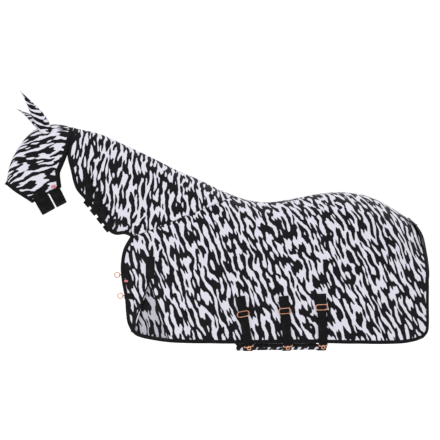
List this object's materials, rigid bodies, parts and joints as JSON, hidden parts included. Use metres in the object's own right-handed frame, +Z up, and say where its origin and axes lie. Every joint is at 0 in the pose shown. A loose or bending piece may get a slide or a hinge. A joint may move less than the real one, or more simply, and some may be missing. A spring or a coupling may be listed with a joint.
{
  "type": "fly sheet",
  "caption": "Horse fly sheet of zebra-print mesh with a sewn neck cover, fly mask with ears, belly flap, tail flap, black binding and rose-gold hardware.",
  "frame": {"origin": "underside of the sheet on the ridge over the withers", "axes": "+X towards the tail, -Y the left side where it fastens, +Z up; the horse faces -X"},
  "size_m": [2.4974, 0.6366, 1.5075],
  "materials": {
    "print_mesh": "fine polyester mesh, black and lavender-white zebra print",
    "black_binding": "woven polyester binding, stitched",
    "black_webbing": "ribbed polypropylene webbing",
    "hook_and_loop": "hook-and-loop tape, stitched",
    "rose_gold": "polished rose-gold plate",
    "woven_label": "plain woven tag"
  },
  "bodies": {
    "sheet": {"body_panel_left": "print_mesh", "body_panel_right": "print_mesh", "neck_panel_left": "print_mesh", "neck_panel_right": "print_mesh", "shoulder_gusset_left": "print_mesh", "shoulder_gusset_right": "print_mesh", "edge_binding_left": "black_binding", "edge_binding_right": "black_binding", "neck_binding_left": "black_binding", "neck_binding_right": "black_binding", "spine_tape": "black_binding", "gusset_patch_left": "black_webbing", "gusset_patch_right": "black_webbing", "belly_anchor_1": "black_webbing", "belly_anchor_2": "black_webbing", "belly_anchor_3": "black_webbing", "chest_anchor_upper": "black_webbing", "chest_anchor_lower": "black_webbing", "chest_ring_upper": "rose_gold", "chest_ring_lower": "rose_gold", "chest_label": "woven_label"},
    "mask": {"mask_panel_left": "print_mesh", "mask_panel_right": "print_mesh", "mask_nose_binding_left": "black_binding", "mask_nose_binding_right": "black_binding", "mask_rear_binding_left": "black_binding", "mask_rear_binding_right": "black_binding", "ear_left": "print_mesh", "ear_right": "print_mesh", "mask_label": "woven_label"},
    "tail_flap": {"tail_flap": "print_mesh", "tail_flap_binding": "black_binding"},
    "belly_flap": {"belly_flap": "print_mesh", "belly_flap_binding": "black_binding", "flap_webbing_1": "black_webbing", "flap_webbing_2": "black_webbing", "flap_webbing_3": "black_webbing", "flap_ring_1": "rose_gold", "flap_ring_2": "rose_gold", "flap_ring_3": "rose_gold"},
    "belly_strap_1": {"belly_strap_1": "black_webbing"},
    "belly_slider_1": {"belly_slider_1": "rose_gold"},
    "belly_hook_1": {"belly_hook_1": "rose_gold"},
    "belly_strap_2": {"belly_strap_2": "black_webbing"},
    "belly_slider_2": {"belly_slider_2": "rose_gold"},
    "belly_hook_2": {"belly_hook_2": "rose_gold"},
    "belly_strap_3": {"belly_strap_3": "black_webbing"},
    "belly_slider_3": {"belly_slider_3": "rose_gold"},
    "belly_hook_3": {"belly_hook_3": "rose_gold"},
    "chest_strap_upper": {"chest_strap_upper": "black_webbing", "chest_hook_upper": "rose_gold"},
    "chest_strap_lower": {"chest_strap_lower": "black_webbing", "chest_hook_lower": "rose_gold"},
    "neck_tab_1": {"neck_tab_1": "hook_and_loop"},
    "neck_tab_2": {"neck_tab_2": "hook_and_loop"},
    "neck_tab_3": {"neck_tab_3": "hook_and_loop"},
    "neck_tab_4": {"neck_tab_4": "hook_and_loop"},
    "throat_strap_1": {"throat_strap_1": "hook_and_loop"},
    "throat_strap_2": {"throat_strap_2": "hook_and_loop"}
  },
  "joints": [
    {"name": "mask_nod", "type": "hinge", "parent": "sheet", "child": "mask", "pos_m": [-0.9405, 0, 0.4015], "axis": [0, 1, 0], "range_deg": [0, 20]},
    {"name": "tail_flap_lift", "type": "hinge", "parent": "sheet", "child": "tail_flap", "pos_m": [1.0455, 0, -0.1285], "axis": [0, -1, 0], "range_deg": [0, 70]},
    {"name": "belly_flap_swing", "type": "hinge", "parent": "sheet", "child": "belly_flap", "pos_m": [0.26, 0.306, -0.8455], "axis": [1, 0, 0], "range_deg": [0, 95]},
    {"name": "belly_strap_1_swing", "type": "hinge", "parent": "sheet", "child": "belly_strap_1", "pos_m": [0.01191, -0.3163, -0.57301], "axis": [-0.9845, 0, -0.1754], "range_deg": [0, 90]},
    {"name": "belly_slider_1_slide", "type": "slide", "parent": "belly_strap_1", "child": "belly_slider_1", "axis": [0.1754, -0.0006, -0.9845], "range_m": [-0.038, 0.1]},
    {"name": "belly_hook_1_pivot", "type": "hinge", "parent": "belly_strap_1", "child": "belly_hook_1", "pos_m": [0.06058, -0.31755, -0.84625], "axis": [-0.9845, 0, -0.1754], "range_deg": [0, 80]},
    {"name": "belly_strap_2_swing", "type": "hinge", "parent": "sheet", "child": "belly_strap_2", "pos_m": [0.262, -0.3163, -0.572], "axis": [-0.9964, 0, -0.0846], "range_deg": [0, 90]},
    {"name": "belly_slider_2_slide", "type": "slide", "parent": "belly_strap_2", "child": "belly_slider_2", "axis": [0.0846, 0, -0.9964], "range_m": [-0.026, 0.1]},
    {"name": "belly_hook_2_pivot", "type": "hinge", "parent": "belly_strap_2", "child": "belly_hook_2", "pos_m": [0.28528, -0.31755, -0.84629], "axis": [-0.9964, 0, -0.0846], "range_deg": [0, 80]},
    {"name": "belly_strap_3_swing", "type": "hinge", "parent": "sheet", "child": "belly_strap_3", "pos_m": [0.478, -0.3163, -0.56], "axis": [-0.9991, 0, -0.0428], "range_deg": [0, 90]},
    {"name": "belly_slider_3_slide", "type": "slide", "parent": "belly_strap_3", "child": "belly_slider_3", "axis": [0.0428, 0, -0.9991], "range_m": [-0.018, 0.1]},
    {"name": "belly_hook_3_pivot", "type": "hinge", "parent": "belly_strap_3", "child": "belly_hook_3", "pos_m": [0.49014, -0.31755, -0.8433], "axis": [-0.9991, 0, -0.0428], "range_deg": [0, 80]},
    {"name": "chest_strap_upper_swing", "type": "hinge", "parent": "sheet", "child": "chest_strap_upper", "pos_m": [-0.56251, 0.1042, -0.46216], "axis": [0, 0, -1], "range_deg": [0, 90]},
    {"name": "chest_strap_lower_swing", "type": "hinge", "parent": "sheet", "child": "chest_strap_lower", "pos_m": [-0.55434, 0.10659, -0.58517], "axis": [0, 0, -1], "range_deg": [0, 90]},
    {"name": "neck_tab_1_peel", "type": "hinge", "parent": "sheet", "child": "neck_tab_1", "pos_m": [-0.86022, 0.02911, -0.0387], "axis": [0.7168, 0.1464, -0.6818], "range_deg": [0, 80]},
    {"name": "neck_tab_2_peel", "type": "hinge", "parent": "sheet", "child": "neck_tab_2", "pos_m": [-0.82248, 0.03003, -0.08715], "axis": [0.6739, 0.121, -0.7289], "range_deg": [0, 80]},
    {"name": "neck_tab_3_peel", "type": "hinge", "parent": "sheet", "child": "neck_tab_3", "pos_m": [-0.78352, 0.029, -0.13755], "axis": [0.6571, 0.0333, -0.7531], "range_deg": [0, 80]},
    {"name": "neck_tab_4_peel", "type": "hinge", "parent": "sheet", "child": "neck_tab_4", "pos_m": [-0.74617, 0.02718, -0.18581], "axis": [0.6373, 0.007, -0.7706], "range_deg": [0, 80]},
    {"name": "throat_strap_1_peel", "type": "hinge", "parent": "mask", "child": "throat_strap_1", "pos_m": [-1.13015, 0.05309, -0.00636], "axis": [0.8728, 0.0437, 0.4861], "range_deg": [0, 80]},
    {"name": "throat_strap_2_peel", "type": "hinge", "parent": "mask", "child": "throat_strap_2", "pos_m": [-1.05322, 0.06062, 0.03448], "axis": [0.8832, 0.1246, 0.4522], "range_deg": [0, 65]}
  ]
}
